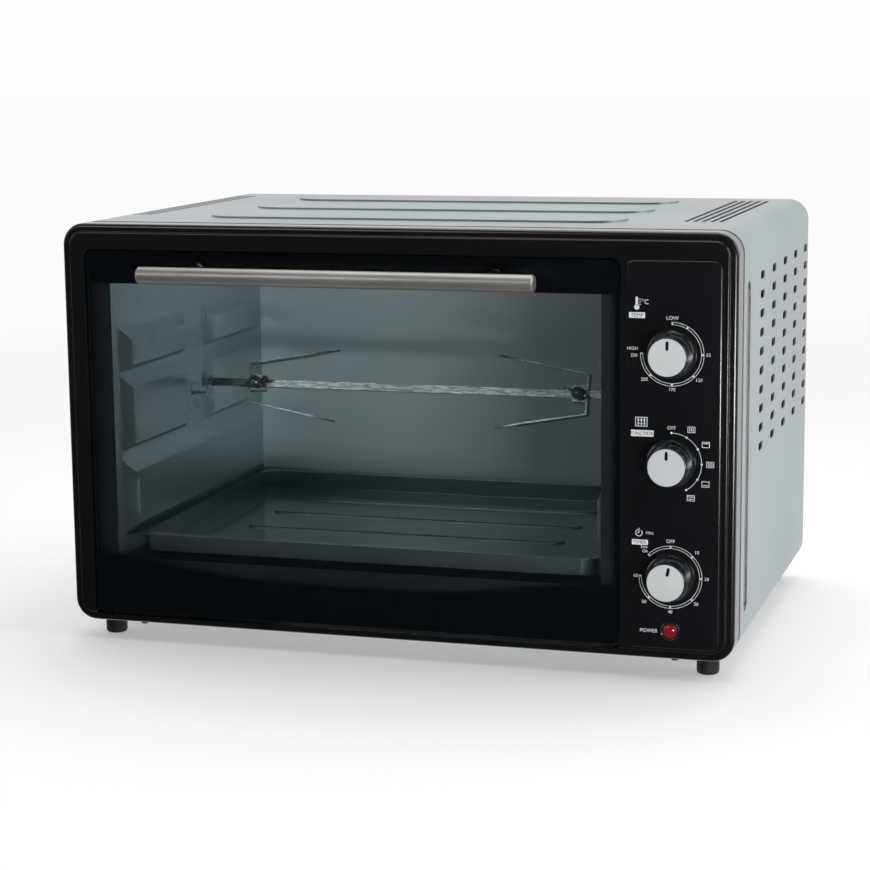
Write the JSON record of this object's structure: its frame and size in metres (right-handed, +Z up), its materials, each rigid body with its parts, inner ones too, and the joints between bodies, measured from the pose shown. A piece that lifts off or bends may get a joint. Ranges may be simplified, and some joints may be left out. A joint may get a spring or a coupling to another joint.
{
  "type": "rotisserie oven",
  "caption": "Countertop rotisserie oven: silver steel case, black front, drop-down glass door, dials, spit with forks, tray.",
  "frame": {"origin": "middle of the oven at the underside of its feet, halfway between the handle and the back", "axes": "+Z up, front with the door towards -Y, +X to the right seen from the front"},
  "size_m": [0.56, 0.4149, 0.3515],
  "materials": {
    "case": "satin silver",
    "front": "satin black",
    "panel": "gloss black",
    "sheet": "galvanised",
    "rubber": "matt",
    "screw": "bright zinc",
    "heater": "heat-darkened",
    "ceramic": "unglazed ceramic",
    "spit": "bright",
    "switch": "moulded",
    "motor": "zinc plated",
    "lens": "clear red",
    "wire": "sleeved",
    "glass": "clear with a dark printed border",
    "handle": "brushed along the bar",
    "gloss_black": "gloss",
    "tray": "dark enamel",
    "knob": "gloss black",
    "cap": "spun silver"
  },
  "bodies": {
    "case": {"outer_shell": "case", "front_bezel": "front", "control_panel": "panel", "front_frame": "sheet", "base_pan": "sheet", "back_panel": "sheet", "front_feet": "rubber", "rear_feet": "rubber", "foot_screws": "screw", "base_screws": "screw", "back_screws": "screw", "cavity_left_wall": "sheet", "cavity_right_wall": "sheet", "cavity_roof": "sheet", "cavity_floor": "sheet", "cavity_back_wall": "sheet", "upper_front_heater": "heater", "upper_rear_heater": "heater", "lower_front_heater": "heater", "lower_rear_heater": "heater", "heater_insulators": "ceramic", "spit_support": "spit", "spit_motor": "motor", "thermostat": "ceramic", "function_switch": "switch", "timer": "motor", "timer_bell": "screw", "power_lamp_lens": "lens", "power_lamp_body": "switch", "terminal_block": "ceramic", "wiring": "wire", "cord_gland": "wire", "left_hinge_bracket": "screw", "right_hinge_bracket": "screw"},
    "door": {"door_glass": "glass", "door_top_rail": "handle", "door_bottom_rail": "handle", "door_hinge_pins": "screw", "door_springs": "screw", "handle_bar": "handle", "handle_end_caps": "handle", "handle_posts": "gloss_black", "handle_screws": "screw"},
    "tray": {"baking_tray": "tray"},
    "spit": {"spit_rod": "spit"},
    "socket": {"drive_socket": "motor"},
    "left_fork_body": {"left_fork": "spit"},
    "right_fork_body": {"right_fork": "spit"},
    "left_fork_thumbscrew": {"left_fork_screw": "spit"},
    "right_fork_thumbscrew": {"right_fork_screw": "spit"},
    "temperature_dial": {"temperature_knob": "knob", "temperature_cap": "cap", "temperature_shaft": "screw"},
    "function_dial": {"function_knob": "knob", "function_cap": "cap", "function_shaft": "screw"},
    "timer_dial": {"timer_knob": "knob", "timer_cap": "cap", "timer_shaft": "screw"}
  },
  "joints": [
    {"name": "door_hinge", "type": "hinge", "parent": "case", "child": "door", "pos_m": [-0.0355, -0.16355, 0.031], "axis": [1, 0, 0], "range_deg": [0, 85], "stiffness_Nm_per_rad": 1, "springref_deg": -14.9},
    {"name": "tray_slide", "type": "slide", "parent": "case", "child": "tray", "axis": [0, -1, 0], "range_m": [0, 0.068]},
    {"name": "drive_socket_spin", "type": "hinge", "parent": "case", "child": "socket", "pos_m": [0.16, 0.01145, 0.194], "axis": [1, 0, 0], "continuous": true},
    {"name": "spit_spin", "type": "hinge", "parent": "case", "child": "spit", "pos_m": [0, 0.01145, 0.194], "axis": [1, 0, 0], "continuous": true},
    {"name": "left_fork_slide", "type": "slide", "parent": "spit", "child": "left_fork_body", "axis": [1, 0, 0], "range_m": [0, 0.06]},
    {"name": "right_fork_slide", "type": "slide", "parent": "spit", "child": "right_fork_body", "axis": [-1, 0, 0], "range_m": [0, 0.06]},
    {"name": "left_fork_screw_turn", "type": "hinge", "parent": "left_fork_body", "child": "left_fork_thumbscrew", "pos_m": [-0.1815, 0.01145, 0.194], "axis": [0, -0.9613, 0.2756], "range_deg": [0, 360]},
    {"name": "right_fork_screw_turn", "type": "hinge", "parent": "right_fork_body", "child": "right_fork_thumbscrew", "pos_m": [0.1145, 0.01145, 0.194], "axis": [0, -0.9613, 0.2756], "range_deg": [0, 360]},
    {"name": "temperature_knob_turn", "type": "hinge", "parent": "case", "child": "temperature_dial", "pos_m": [0.23, -0.18255, 0.257], "axis": [0, 1, 0], "range_deg": [0, 270]},
    {"name": "function_knob_turn", "type": "hinge", "parent": "case", "child": "function_dial", "pos_m": [0.23, -0.18255, 0.1725], "axis": [0, 1, 0], "range_deg": [0, 150]},
    {"name": "timer_knob_turn", "type": "hinge", "parent": "case", "child": "timer_dial", "pos_m": [0.23, -0.18255, 0.0825], "axis": [0, 1, 0], "range_deg": [-57, 258]}
  ],
  "couplings": [
    {"joint": "tray_slide", "follows": "door_hinge", "m_per_rad": 0.045},
    {"joint": "spit_spin", "follows": "drive_socket_spin", "ratio": 1}
  ]
}
